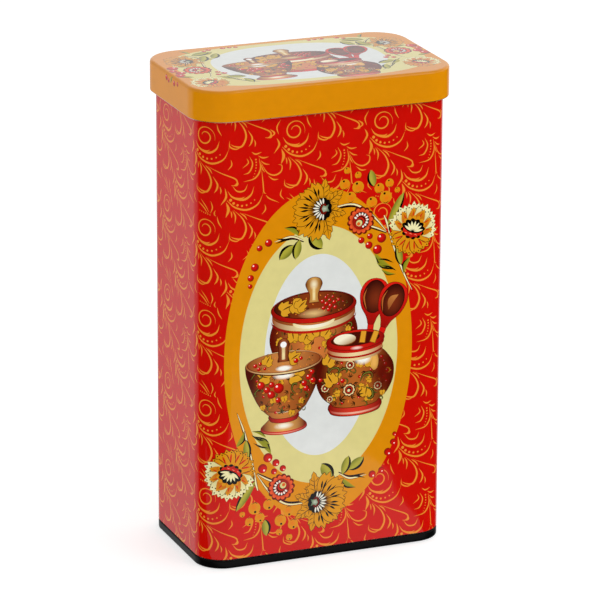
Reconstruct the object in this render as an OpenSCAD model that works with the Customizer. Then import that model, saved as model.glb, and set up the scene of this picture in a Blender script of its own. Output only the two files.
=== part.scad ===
// Rectangular tea tin of printed tinplate: a rolled body with a locked side seam, a base
// joined to it by a double seam, and a slip-on lid that rests on the body's curled rim.
// The origin is under the middle of the base, +Z is up and the front faces -Y.

/* [Body] */
// Width of the body, wall to wall outside
body_w = 106; // [70:1:160]
// Depth of the body, wall to wall outside
body_d = 64; // [40:1:110]
// Height of the whole tin, with its lid on
tin_h = 200; // [90:1:300]
// Outside radius of the body's upright corners
corner_r = 12; // [7:0.5:20]

/* [Tinplate] */
// Thickness of the sheet that every piece is made of
sheet = 0.25; // [0.2:0.01:0.36]
// Gap between layers of sheet that are folded together
fold_gap = 0.04; // [0.03:0.01:0.06]

/* [Rim and lid] */
// Outside diameter of the outward curl along the body's top edge
curl_d = 1.95; // [1.5:0.05:3]
// How far the curl's raw edge stops short of a full turn, in degrees
curl_open = 50; // [48:1:120]
// Height of the lid's skirt, with its top
lid_h = 12.6; // [9:0.1:30]
// Outside radius of the edge between the lid's top and its skirt
lid_edge_r = 1.2; // [0.6:0.1:1.5]
// Height of the hem folded inwards along the skirt's lower edge
hem_h = 2.4; // [1.5:0.1:5]
// Gap inside the hem's fold
hem_gap = 0.1; // [0.06:0.01:0.3]
// Clearance per side between the curl and the hem that slides over it
lid_slip = 0.1; // [0.06:0.01:0.4]
// Clearance between the curl's top and the underside of the lid's panel
lid_rest_gap = 0.03; // [0.02:0.01:0.1]

/* [Base] */
// Height of the double seam, which shows as a band round the foot
seam_h = 3.2; // [2.6:0.1:4.5]
// Outside radius of the rolled edges on either side of the seam's flat foot
foot_r = 0.45; // [0.4:0.01:0.6]
// Thickness of the sealing compound under the body's flange
compound_h = 0.12; // [0.08:0.01:0.2]
// Space past the end of each hook inside a fold
hook_gap = 0.15; // [0.1:0.01:0.3]
// Height of the base panel's upper face over the table
base_panel_z = 4.2; // [3.6:0.1:8]
// Radius of the bend between the base panel and its wall
base_bend_r = 0.9; // [0.6:0.1:2]
// Depth of the shallow step that stiffens the base panel
base_step_h = 0.6; // [0.4:0.1:1.2]
// Distance from the body's wall to that step
base_step_in = 8; // [5:0.5:14]
// Corner radius of that step
base_step_r = 5; // [3:0.5:10]

/* [Side seam] */
// Width of the lock seam down the right side
side_seam_w = 4; // [3:0.5:6]
// Plain lapped length between the lock seam and the curl or neck next to it
side_seam_end = 1.5; // [1:0.5:6]

/* [Hidden] */
$fn = 72;

// A fold of three layers: two outer ones joined by a half turn round the middle one
fold_w = 3 * sheet + 2 * fold_gap;
fold_mid_r = (fold_w - sheet) / 2;
// The neck brings the body's wall in by as much as the seam's outer layers stand off it
neck_in = 3 * (sheet + fold_gap);
neck_bend_r = neck_in / 2;
neck_top = seam_h + fold_gap + neck_in;
// The double seam's five layers, from the outside inwards
seam_w = 5 * sheet + 4 * fold_gap;
seam_mid = -seam_w / 2;
chuck_u = -seam_w + sheet;
flange_z = sheet + compound_h + fold_w / 2;
top_fold_z = seam_h - fold_w / 2;
// The rim, and the lid that goes over it
curl_mid_r = (curl_d - sheet) / 2;
curl_out = curl_d - sheet;
rim_z = tin_h - sheet - lid_rest_gap;
hem_mid_r = (sheet + hem_gap) / 2;
lid_over = curl_out + lid_slip + 2 * sheet + hem_gap;
lid_w = body_w + 2 * lid_over;
lid_d = body_d + 2 * lid_over;
lid_corner_r = corner_r + lid_over;
// A film thin enough to leave the compound free between two layers of sheet
film_gap = 0.01;
// The lock seam's stretch of the wall
lock_low = neck_top + side_seam_end;
lock_high = rim_z - curl_d - side_seam_end;
lock_step = -side_seam_w / 2 - fold_w / 2 - neck_bend_r - sheet / 2 - 2 * fold_gap;

// ---- Bending sheet: outlines across the sheet, seen on edge ----

// A wedge from one angle to another about the origin
module sector(from, to, reach) {
    steps = ceil(abs(to - from) / 45);
    polygon(concat([[0, 0]], [
        for (i = [0 : steps])
            let (a = from + (to - from) * i / steps) [reach * cos(a), reach * sin(a)]
    ]));
}

// Sheet bent about the origin, with its middle line at radius mid_r
module bend(mid_r, from, to) {
    intersection() {
        difference() {
            circle(r = mid_r + sheet / 2);
            circle(r = mid_r - sheet / 2);
        }
        sector(from, to, 2 * (mid_r + sheet));
    }
}

// Upright length of sheet whose outer face is at u
module leg(u, low, high) {
    translate([u - sheet, low]) square([sheet, high - low]);
}

// ---- Going round the tin ----

// Carries an outline round a rounded rectangle: the outline's first axis is the distance
// outwards from that line, and its second axis is height
module round_the_tin(w, d, r) {
    for (side = [0 : 3]) {
        along = side % 2 == 0 ? w : d;
        across = side % 2 == 0 ? d : w;
        rotate([0, 0, 90 * side]) {
            translate([along / 2 - r, -across / 2, 0])
                rotate([90, 0, -90]) linear_extrude(along - 2 * r) children();
            translate([along / 2 - r, -across / 2 + r, 0])
                rotate([0, 0, -90]) rotate_extrude(angle = 90) translate([r, 0]) children();
        }
    }
}

// Flat plate with rounded corners, from z = 0 up
module plate(w, d, r, thick) {
    linear_extrude(thick) {
        square([w - 2 * r, d], center = true);
        square([w, d - 2 * r], center = true);
        for (x = [-1, 1], y = [-1, 1])
            translate([x * (w / 2 - r), y * (d / 2 - r)]) circle(r = r);
    }
}

// ---- Body ----

// Outline of the body's wall, from the hook in the base's seam to the curl at the rim
module body_outline() {
    // hook turned outwards and up inside the double seam
    leg(-sheet - fold_gap, flange_z, top_fold_z - hook_gap);
    translate([seam_mid, flange_z]) bend(fold_mid_r, 180, 360);
    leg(-neck_in, flange_z, neck_top - neck_in);
    // neck
    translate([-sheet / 2 - neck_bend_r, neck_top - neck_in]) bend(neck_bend_r, 90, 180);
    translate([-sheet / 2 - neck_bend_r, neck_top]) bend(neck_bend_r, 270, 360);
    leg(0, neck_top, rim_z - curl_d / 2);
    // outward curl
    translate([-sheet / 2 + curl_mid_r, rim_z - curl_d / 2])
        bend(curl_mid_r, curl_open - 180, 180);
}

// The lock seam in plan: u is the distance along the wall, v the distance outwards
module lock_outline() {
    half = side_seam_w / 2;
    pitch = sheet + fold_gap;
    // the wall steps in behind the seam
    translate([lock_step, -sheet / 2 - neck_bend_r]) bend(neck_bend_r, 0, 90);
    translate([lock_step + neck_in, -sheet / 2 - neck_bend_r]) bend(neck_bend_r, 180, 270);
    // hook of the inner edge
    translate([lock_step + neck_in, -neck_in - sheet]) square([half - lock_step - neck_in, sheet]);
    translate([half, -pitch - fold_w / 2]) bend(fold_mid_r, -90, 90);
    translate([-half + hook_gap, -pitch - sheet]) square([2 * half - hook_gap, sheet]);
    // hook of the outer edge
    translate([-half, -fold_w / 2]) bend(fold_mid_r, 90, 270);
    translate([-half, -fold_w]) square([2 * half - hook_gap, sheet]);
}

module body_wrap() color("firebrick") {
    difference() {
        round_the_tin(body_w, body_d, corner_r) body_outline();
        // the gap that the outer edge leaves in the wall
        translate([body_w / 2 - 2 * sheet, lock_step, lock_low])
            cube([3 * sheet, -side_seam_w / 2 - lock_step, lock_high - lock_low]);
    }
    translate([body_w / 2, 0, lock_low])
        linear_extrude(lock_high - lock_low) mirror([1, 0]) rotate(90) lock_outline();
}

// ---- Base ----

// Outline of the base's rim: chuck wall, flat foot, outer wall and the hook turned down inside
module base_outline() {
    panel_u = chuck_u - base_bend_r;
    bend_z = base_panel_z - base_bend_r;
    foot_mid_r = foot_r - sheet / 2;
    translate([panel_u, bend_z]) bend(base_bend_r - sheet / 2, 0, 90);
    leg(chuck_u, foot_r, bend_z);
    translate([-seam_w + foot_r, foot_r]) bend(foot_mid_r, 180, 270);
    translate([-seam_w + foot_r, 0]) square([seam_w - 2 * foot_r, sheet]);
    translate([-foot_r, foot_r]) bend(foot_mid_r, 270, 360);
    leg(0, foot_r, top_fold_z);
    translate([-fold_w / 2, top_fold_z]) bend(fold_mid_r, 0, 180);
    leg(-fold_w + sheet, flange_z + hook_gap, top_fold_z);
}

// Outline of the sloping step in the base panel, about its upper outer edge
module step_outline() {
    polygon([
        [0, 0], [sheet, 0], [sheet, sheet], [0, sheet],
        [-base_step_h, sheet - base_step_h], [-base_step_h - sheet, sheet - base_step_h],
        [-base_step_h - sheet, -base_step_h], [-base_step_h, -base_step_h]
    ]);
}

module base_end() color("dimgray") {
    panel_in = base_bend_r - chuck_u;
    step_w = body_w - 2 * base_step_in;
    step_d = body_d - 2 * base_step_in;
    well_in = base_step_h + sheet;
    round_the_tin(body_w, body_d, corner_r) base_outline();
    translate([0, 0, base_panel_z - sheet]) {
        // panel between the wall's bend and the step
        difference() {
            plate(body_w - 2 * panel_in, body_d - 2 * panel_in, corner_r - panel_in, sheet);
            translate([0, 0, -sheet])
                plate(step_w + 2 * sheet, step_d + 2 * sheet, base_step_r + sheet, 3 * sheet);
        }
        round_the_tin(step_w, step_d, base_step_r) step_outline();
        translate([0, 0, -base_step_h])
            plate(step_w - 2 * well_in, step_d - 2 * well_in, base_step_r - well_in, sheet);
    }
}

// Ring of compound that fills the seam's foot under the body's flange
module seam_compound() color("darkslategray") {
    hollow_r = foot_r - sheet - film_gap;
    round_the_tin(body_w, body_d, corner_r) difference() {
        union() {
            for (u = [-seam_w + foot_r, -foot_r]) translate([u, foot_r]) circle(r = hollow_r);
            translate([-seam_w + foot_r, foot_r - hollow_r])
                square([seam_w - 2 * foot_r, hollow_r]);
            translate([-seam_w + foot_r - hollow_r, foot_r])
                square([seam_w - 2 * (foot_r - hollow_r), flange_z - fold_w / 4 - foot_r]);
        }
        translate([seam_mid, flange_z]) circle(r = fold_w / 2 + film_gap);
    }
}

// ---- Lid ----

// Outline of the lid's skirt: rounded top edge, wall and inward hem
module skirt_outline() {
    translate([-lid_edge_r, tin_h - lid_edge_r]) bend(lid_edge_r - sheet / 2, 0, 90);
    leg(0, tin_h - lid_h + hem_mid_r + sheet / 2, tin_h - lid_edge_r);
    translate([-sheet / 2 - hem_mid_r, tin_h - lid_h + hem_mid_r + sheet / 2])
        bend(hem_mid_r, 180, 360);
    leg(-sheet - hem_gap, tin_h - lid_h + hem_mid_r + sheet / 2, tin_h - lid_h + hem_h);
}

module lid() color("orange") {
    round_the_tin(lid_w, lid_d, lid_corner_r) skirt_outline();
    translate([0, 0, tin_h - sheet])
        plate(lid_w - 2 * lid_edge_r, lid_d - 2 * lid_edge_r, lid_corner_r - lid_edge_r, sheet);
}

body_wrap();
base_end();
seam_compound();
lid();
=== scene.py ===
"""A lithographed tin with a lift-off lid: its printed sheet, its metal finishes and a plain studio."""

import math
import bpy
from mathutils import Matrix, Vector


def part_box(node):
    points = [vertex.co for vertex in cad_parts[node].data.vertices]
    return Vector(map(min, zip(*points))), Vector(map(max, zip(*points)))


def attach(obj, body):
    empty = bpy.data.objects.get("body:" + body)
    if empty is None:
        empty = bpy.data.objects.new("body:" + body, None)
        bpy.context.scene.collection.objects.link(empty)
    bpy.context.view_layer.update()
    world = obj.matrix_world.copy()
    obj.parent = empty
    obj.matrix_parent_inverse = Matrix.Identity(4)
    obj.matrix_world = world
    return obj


bl_info = {
    "name": "Lithographed Tin",
    "version": (1, 0, 0),
    "blender": (4, 5, 0),
    "location": "View3D > Sidebar > Tin",
    "description": "Prints, varnishes and finishes a rectangular tin with a lift-off lid",
    "category": "Add Mesh",
}

from collections import namedtuple

import bpy
import numpy as np
from bpy.props import FloatProperty, FloatVectorProperty, PointerProperty
from mathutils import Matrix, Vector
from mathutils.geometry import delaunay_2d_cdt

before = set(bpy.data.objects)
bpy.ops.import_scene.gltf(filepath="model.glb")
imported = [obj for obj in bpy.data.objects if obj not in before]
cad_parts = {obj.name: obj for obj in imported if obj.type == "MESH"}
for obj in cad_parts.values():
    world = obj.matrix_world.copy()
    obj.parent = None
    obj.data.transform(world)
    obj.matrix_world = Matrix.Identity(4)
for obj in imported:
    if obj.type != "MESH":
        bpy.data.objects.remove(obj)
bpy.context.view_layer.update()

MM = 0.001
FAR = 1e9  # higher than any edge, for a wall that has none to bend over

base_low, base_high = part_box("base_end")
lid_low, lid_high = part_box("lid")


def linear(code):
    """An sRGB hex colour as linear red, green and blue."""
    parts = [int(code[k : k + 2], 16) / 255 for k in (1, 3, 5)]
    return tuple(c / 12.92 if c <= 0.04045 else ((c + 0.055) / 1.055) ** 2.4 for c in parts)


# ---- What a user would change ----


def length(name, description, default):
    return FloatProperty(name=name, description=description, default=default, min=0.0, unit="LENGTH")


def angle(name, description, degrees):
    return FloatProperty(name=name, description=description, default=math.radians(degrees), subtype="ANGLE")


def ink(name, description, code):
    return FloatVectorProperty(
        name=name, description=description, default=linear(code), subtype="COLOR", min=0.0, max=1.0
    )


class TinSizes(bpy.types.PropertyGroup):
    body_width: length("Body Width", "Outside width of the body", base_high.x - base_low.x)
    body_depth: length("Body Depth", "Outside depth of the body", base_high.y - base_low.y)
    body_corner: length("Body Corner", "Outside radius of the body's upright corners", 12 * MM)
    print_foot: length("Print Foot", "Height at which the body's print starts", 3.9 * MM)
    print_head: length("Print Head", "Height at which the body's print ends, under the lid", 197.2 * MM)
    seam_left: length("Seam Left", "From the front's middle round to the seam's near side", 76.75 * MM)
    seam_right: length("Seam Right", "From the front's middle round to the seam's far side", 77.95 * MM)
    lid_corner: length("Lid Corner", "Outside radius of the lid's upright corners", 14.4 * MM)
    lid_edge: length("Lid Edge", "Radius of the lid's upper edge", 1.2 * MM)
    hem: length("Hem Margin", "Bare metal at the lid's folded lower edge", 0.32 * MM)
    film: length("Film", "How far the ink and varnish stand off the metal", 0.03 * MM)


class PrintInks(bpy.types.PropertyGroup):
    red: ink("Red", "The body's ground", "#cf0c02")
    scroll: ink("Scroll", "The scrolls on the ground", "#ec8f2c")
    orange: ink("Orange", "The lid and the medallion's outer oval", "#e08e04")
    cream: ink("Cream", "The medallion's middle oval", "#e1d68c")
    white: ink("White", "The medallion's inner oval", "#e3e6e3")
    gold: ink("Gold", "Petals, leaves and unripe berries", "#dd9410")
    black: ink("Black", "The key drawing", "#0c0805")
    umber: ink("Umber", "Fine lines on the gold", "#4a2408")
    maroon: ink("Maroon", "Shadows on the reds", "#6e1408")
    olive: ink("Olive", "The narrow leaves' shaded side", "#8a8a1c")
    lime: ink("Lime", "The narrow leaves' lit side", "#b9a92c")
    ivory: ink("Ivory", "Stems and the pale petals", "#f4ecb4")
    scarlet: ink("Scarlet", "Ripe berries", "#d5120c")
    coral: ink("Coral", "The rosettes' petals", "#ef5a2a")


class StudioSettings(bpy.types.PropertyGroup):
    yaw: angle("Yaw", "How far round to the left the camera stands", 22.037)
    pitch: angle("Pitch", "How far the camera looks down", 17.967)
    roll: angle("Roll", "The camera's tilt to the side", 0.262)
    distance: length("Distance", "From the camera to the tin's middle", 1.68837)
    lens: FloatProperty(
        name="Lens", description="Focal length on a 36 mm sensor", default=248.8, min=1.0, unit="CAMERA"
    )
    floor: length("Floor", "Width of the pale floor", 30.0)
    key: FloatProperty(
        name="Key", description="Strength of the soft light in front", default=16.0, min=0.0, unit="POWER"
    )


# ---- Drawing: outlines in millimetres ----

LINE_FINENESS = 0.03  # how far a drawn curve may cut its true corner
SHADOW_LINE = "#4a1206"  # the dark red that edges the vessels
SHEEN = "#fffdf2"  # the brightest spots on their varnish

Shape = namedtuple("Shape", "outline ink to weight home")


def shape(outline, ink, to=None, weight=None):
    """One closed outline. weight(points) mixes ink towards another ink, or lays it as a wash."""
    return [Shape(np.asarray(outline, float), ink, to, weight, np.eye(3))]


def placed(shapes, x=0.0, y=0.0, turn=0.0, size=1.0, flip=False):
    """The shapes mirrored if asked, then sized, turned by degrees and moved."""
    c, s = size * math.cos(math.radians(turn)), size * math.sin(math.radians(turn))
    side = -1.0 if flip else 1.0
    move = np.array([[side * c, -s, x], [side * s, c, y], [0.0, 0.0, 1.0]])
    back = np.linalg.inv(move)
    return [
        Shape(a.outline @ move[:2, :2].T + move[:2, 2], a.ink, a.to, a.weight, a.home @ back)
        for a in shapes
    ]


def scattered(make, rows):
    """One figure for each row: its place, its turn, and what make() is given."""
    return [part for x, y, turn, *given in rows for part in placed(make(*given), x, y, turn)]


def ramp(start, end):
    """Weight from 0 at one point to 1 at another."""
    a, run = np.array(start, float), np.subtract(end, start).astype(float)
    return lambda p: np.clip((p - a) @ run / (run @ run), 0.0, 1.0)


def glow(inner, outer, x=0.0, y=0.0, squash=1.0):
    """Weight 1 within the inner radius, falling to 0 at the outer one."""
    return lambda p: np.clip(
        (outer - np.hypot(p[:, 0] - x, (p[:, 1] - y) / squash)) / (outer - inner), 0.0, 1.0
    )


def roundness(half):
    """Weight that rises towards both sides of a turned shape."""
    return lambda p: np.clip(np.abs(p[:, 0]) / half, 0.0, 1.0) ** 1.6


def ring(rx, ry=None, x=0.0, y=0.0, start=0.0, end=360.0):
    """Points round an ellipse, or along part of it."""
    ry = rx if ry is None else ry
    bend = math.acos(max(-1.0, 1.0 - LINE_FINENESS / max(rx, ry)))
    count = max(4, math.ceil(math.radians(abs(end - start)) / (2 * bend)))
    turns = np.radians(np.linspace(start, end, count + 1))
    if abs(end - start) == 360.0:
        turns = turns[:-1]
    return np.stack([x + rx * np.cos(turns), y + ry * np.sin(turns)], 1)


def disc(ink, rx, ry=None, x=0.0, y=0.0, to=None, weight=None):
    """A filled circle or ellipse."""
    return shape(ring(rx, ry, x, y), ink, to, weight)


def shine(ink, rx, ry, x, y, inner, squash):
    """A soft bright oval that fades towards its rim."""
    return disc(ink, rx, ry, x, y, weight=glow(inner, rx, x, y, squash))


def curve(points, steps=6):
    """A smooth line through the points."""
    p = np.array(points, float)
    if len(p) == 2:
        return p
    p = np.vstack([2 * p[0] - p[1], p, 2 * p[-1] - p[-2]])
    t = np.linspace(0.0, 1.0, steps, endpoint=False)[:, None]
    spans = [
        0.5 * (2 * b + (c - a) * t + (2 * a - 5 * b + 4 * c - d) * t**2 + (3 * b - a - 3 * c + d) * t**3)
        for a, b, c, d in zip(p, p[1:], p[2:], p[3:])
    ]
    return np.vstack(spans + [p[-2:-1]])


def normals(line, closed=False):
    """The leftward unit normal at each point of a line."""
    if closed:
        run = np.roll(line, -1, 0) - np.roll(line, 1, 0)
    else:
        run = np.gradient(line, axis=0)
    run /= np.maximum(np.hypot(run[:, 0], run[:, 1]), 1e-9)[:, None]
    return np.stack([-run[:, 1], run[:, 0]], 1)


def brush(ink, points, width, start=0.0, end=0.0, steps=6, to=None, weight=None):
    """A brush stroke: full width midway, and the given shares of it at its two ends."""
    line = curve(points, steps)
    t = np.linspace(0.0, 1.0, len(line))
    ends = (1 - t) * start + t * end
    half = width / 2 * np.maximum(ends + (1 - ends) * np.sin(np.pi * t), 0.04)
    side = normals(line) * half[:, None]
    return shape(np.vstack([line + side, (line - side)[::-1]]), ink, to, weight)


def grown(outline, by):
    """A closed outline moved outwards all round."""
    x, y = outline[:, 0], outline[:, 1]
    turn = np.sign(np.sum(x * np.roll(y, -1) - y * np.roll(x, -1)))
    return outline - turn * by * normals(outline, closed=True)


def outlined(outline, ink, line, width, to=None, weight=None):
    """A shape with a line of another ink round it."""
    return shape(grown(outline, width), line) + shape(outline, ink, to, weight)


def blade(length, width, lean=0.0, peak=0.8, steps=8):
    """A pointed leaf or petal from the origin along +x."""
    t = np.linspace(0.0, 1.0, steps + 1)
    mid = lean * length * np.sin(np.pi * t)
    half = width / 2 * np.sin(np.pi * t**peak)
    upper = np.stack([length * t, mid + half], 1)
    lower = np.stack([length * t, mid - half], 1)
    return np.vstack([upper, lower[-2:0:-1]])


def scalloped(radius, lobes, depth, lobe_steps=5):
    """A round outline whose edge bulges out in lobes."""
    a = np.linspace(0.0, 2 * np.pi, lobes * lobe_steps, endpoint=False)
    r = radius + depth * np.abs(np.sin(lobes * a / 2))
    return np.stack([r * np.cos(a), r * np.sin(a)], 1)


# ---- Berries and leaves ----


def red_berry(r):
    """A ripe berry with its shadow and a bright spot."""
    out = disc("scarlet", r, to="maroon", weight=glow(1.3 * r, 0.5 * r, -0.2 * r, 0.2 * r))
    return out + disc("#ffe9dc", 0.22 * r, x=-0.38 * r, y=0.4 * r)


def gold_berry(r):
    """An unripe berry with its black tip and a shadow underneath."""
    out = disc("gold", r, to="#e8790c", weight=glow(0.1 * r, 0.9 * r, 0.15 * r, -0.2 * r))
    out += disc("black", 0.2 * r, x=-0.2 * r, y=0.6 * r)
    return out + brush("umber", [(-0.5 * r, -0.7 * r), (0, -0.95 * r), (0.6 * r, -0.6 * r)], 0.12 * r)


def berries(rows, make=red_berry):
    """Berries, each given by its place and radius."""
    return [part for x, y, r in rows for part in placed(make(r), x, y)]


def olive_leaf(length, width, lean=-0.1):
    """A narrow olive leaf with a black brush stroke along its under side."""
    out = shape(blade(length, width, lean), "olive", "lime", ramp((0, -width / 2), (0, width)))
    shade = [(0.1 * length, -0.25 * width), (0.5 * length, lean * length - 0.52 * width), (length, 0)]
    return out + brush("black", shade, 0.34 * width)


def plump_leaf(length, width):
    """A rounded olive leaf along +x, paler down its middle, with a thick black shadow along one side."""
    half = [(0, 0.02), (0.18, 0.34), (0.5, 0.52), (0.82, 0.36), (1, 0.02)]
    upper = curve([(length * x, width * y) for x, y in half], 4)
    outline = np.vstack([upper, upper[::-1] * (1, -1)])
    out = shape(outline, "#6f7420", "#b5ad3c", ramp((0, 0.5 * width), (0, -0.1 * width)))
    shade = [(0.0, -0.02), (0.24, -0.42), (0.56, -0.56), (0.86, -0.34), (1.04, 0.04)]
    return out + brush("black", [(length * x, width * y) for x, y in shade], 0.3 * width)


def toothed_leaf(length, width, teeth=4, peak=0.62):
    """The outline of a leaf along +x with saw teeth that point forwards."""
    upper = []
    for k in range(teeth):
        notch, tip = (k + 0.15) / teeth, (k + 0.95) / teeth
        for t, reach in ((notch, 0.66), (tip, 1.0)):
            at = 0.12 + 0.88 * t
            upper.append((length * at, reach * width / 2 * math.sin(math.pi * at**peak)))
    upper = [(0.0, 0.0), (0.1 * length, 0.2 * width)] + upper[:-1] + [(0.9 * length, 0.1 * width)]
    lower = [(x, -y) for x, y in upper[:0:-1]]
    return np.array(upper + [(length, 0.0)] + lower)


def sprig(points, width):
    """A cream stem with a maroon edge and a black shadow."""
    shade = [(x + 0.5 * width, y - 0.75 * width) for x, y in points]
    out = brush("black", shade, 1.3 * width, 0.3, 0.1)
    out += brush("maroon", points, 1.25 * width, 0.5, 0.2)
    return out + brush("ivory", points, 0.7 * width, 0.5, 0.2)


# ---- Flowers ----


def frilled(length, width, depth, steps=1, tips=3):
    """The outline of a petal that widens from the origin, along +x, to a rim with several tips."""
    rim = []
    for k in range(2 * tips + 1):
        across = k / tips - 1
        reach = length * (1 - 0.2 * across**2) * (1 - depth * (k % 2 == 0))
        rim.append((reach, 0.5 * width * across))
    side = (0.42 * length, 0.4 * width)
    return curve([(0, -0.02), (side[0], -side[1])] + rim + [side, (0, 0.02)], steps)


def lashes(count, ink, outline, x, y, first, step):
    """A fan of like marks about a flower's eye."""
    return [part for k in range(count) for part in placed(shape(outline, ink), x, y, first + step * k)]


def leaf_flower():
    """Gold petals on one side and toothed leaves on the other, round a shell-like eye with white lashes."""
    out = []
    for turn, long, wide in ((84, 12.6, 9), (38, 11.4, 8), (-16, 10.6, 7.5), (-48, 8.8, 5.4), (-76, 13.4, 9)):
        leaf = outlined(toothed_leaf(long, wide), "gold", "umber", 0.22)
        leaf += brush("umber", [(3.4, 0), (0.5 * long, 0.4), (0.94 * long, 0)], 0.34)
        for k in range(3):
            at = 0.36 * long + 2.0 * k
            for side in (-1, 1):
                vein = [(at, 0), (at + 1.0, side * 0.14 * wide), (at + 1.9, side * (0.3 - 0.05 * k) * wide)]
                leaf += brush("umber", vein, 0.26)
        out += placed(leaf, turn=turn)
    for turn, long in ((252, 13.6), (224, 14.2), (112, 12.2), (198, 13.2), (142, 12.4), (170, 12.8)):
        petal = outlined(frilled(long, 6.9, 0.13, 3), "gold", "black", 0.2)
        for side, reach in ((-1, 8.6), (0, 10.4), (1, 9.2)):
            petal += brush("black", [(5.6, 0.7 * side), (7.2, 1.2 * side), (reach, 1.7 * side)], 0.8)
        for side in (-0.55, 0.5):
            petal += shape(blade(6.8, 0.6, 0.02), "umber")
            petal += placed(shape(blade(6.4, 0.5), "umber"), turn=18 * side)
        out += placed(petal, turn=turn)
    out += disc("umber", 6.2, weight=glow(2.4, 6.0, -0.6))
    out += placed(shape(scalloped(1.0, 12, 0.12) * (3.5, 4.3), "black"), 0.4)
    out += lashes(10, "#f1eddc", blade(3.0, 0.74, peak=1.1, steps=5) + (1.7, 0), 0.6, 0, 92, 19.5)
    out += placed(shape(scalloped(1.0, 7, 0.12) * (1.4, 2.2), "maroon"), 0.7)
    bud = [(-0.8, 0.2), (0.0, 1.6), (0.8, 1.0), (2.2, 1.7), (1.8, 0.2), (2.5, -1.2), (0.8, -1.0), (0.0, -1.4)]
    return out + placed(shape(bud, "#5f7a5c", "#c3cdb4", glow(0.2, 1.6, 0.4)), 0.6)


def rosette():
    """A ring of coral lobes round a black ring with white dashes and an eccentric heart."""
    out = shape(scalloped(5.3, 14, 0.7), "maroon")
    for k in range(14):
        lobe = disc("coral", 1.25, 0.98, to="#b83018", weight=ramp((0.5, 0), (-0.9, 0)))
        out += placed(placed(lobe, 4.05), turn=360 * k / 14 + 8)
    out += disc("black", 3.6) + disc("#a51a10", 3.1, 3.15, -0.45, -0.1)
    for k in range(10):
        dash = disc("#f6f2e4", 0.62, 0.4)
        out += placed(placed(dash, 2.85 - 0.012 * (k - 5) ** 2), turn=24 * k - 88)
    for name, r, x, y in (
        ("black", 2.15, -0.15, -0.2), ("#c8200f", 1.9, -0.35, -0.3), ("black", 1.5, -0.75, -0.5),
        ("cream", 1.35, -0.95, -0.6), ("#e0641c", 0.75, -1.3, -0.8),
    ):
        out += disc(name, r, x=x, y=y)
    return out


def carnation():
    """A cream fan with dotted tips over flame-marked gold petals, round a black and red crown."""
    out = []
    for k in range(8):
        petal = outlined(frilled(10.2, 6.4, 0.12), "gold", "black", 0.22)
        for side in (-1, 0, 1):
            petal += brush("#d0240c", [(3.8, 0.5 * side), (6.2, 1.1 * side), (7.9, 1.7 * side)], 0.75)
            petal += disc("black", 0.27, x=9.0 - 0.7 * abs(side), y=1.9 * side)
        out += placed(petal, 0, -1, turn=172 + 27 * k)
    for turn in (172, 8, 140, 40, 106, 74):
        petal = outlined(frilled(11.6, 6.6, 0.14), "ivory", "#8f7a30", 0.2, "#e0d692", ramp((10, 0), (6, 0)))
        for x, y in ((9.0, -2.1), (10.2, 0), (9.0, 2.1), (8.4, -0.9), (8.4, 0.9)):
            petal += disc("#2c2610", 0.3, x=x, y=y)
        petal += shape(blade(9.2, 4.8, peak=0.95), "gold", "#c65a10", ramp((9, 0), (4, 0)))
        petal += brush("#d0240c", [(4, 0), (6, 0.1), (8, 0)], 0.5)
        out += placed(petal, 0, 0, turn=turn)
    out += shape(scalloped(4.9, 16, 0.9), "gold")
    for k in range(16):
        out += placed(brush("#c0200c", [(3.8, 0), (5.4, 0.1)], 0.5, 0.5), turn=22.5 * k)
    out += shape(scalloped(3.9, 12, 0.7) * (1.18, 0.95), "black")
    out += lashes(7, "ivory", blade(4.0, 1.0, peak=1.1, steps=5) + (0.6, 0), 0.2, -1.2, 156, -22)
    skirt = [
        (-4.3, -0.2), (-2, -1.4), (0.5, -1.7), (3, -1.2), (4.5, -0.2), (4.2, -1.9), (3.1, -2.2),
        (2.7, -3.2), (1.2, -3.0), (0.4, -3.9), (-0.9, -3.1), (-2.2, -3.3), (-2.8, -2.3), (-4.0, -1.9),
    ]
    out += shape(skirt, "#e0210f", "#a8120a", ramp((0, -1), (0, -4)))
    for x in (-2.6, -0.4, 1.9):
        out += brush("#ff8a6a", [(x - 0.7, -2.3), (x, -2.0), (x + 0.7, -2.4)], 0.3)
    return out


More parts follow.
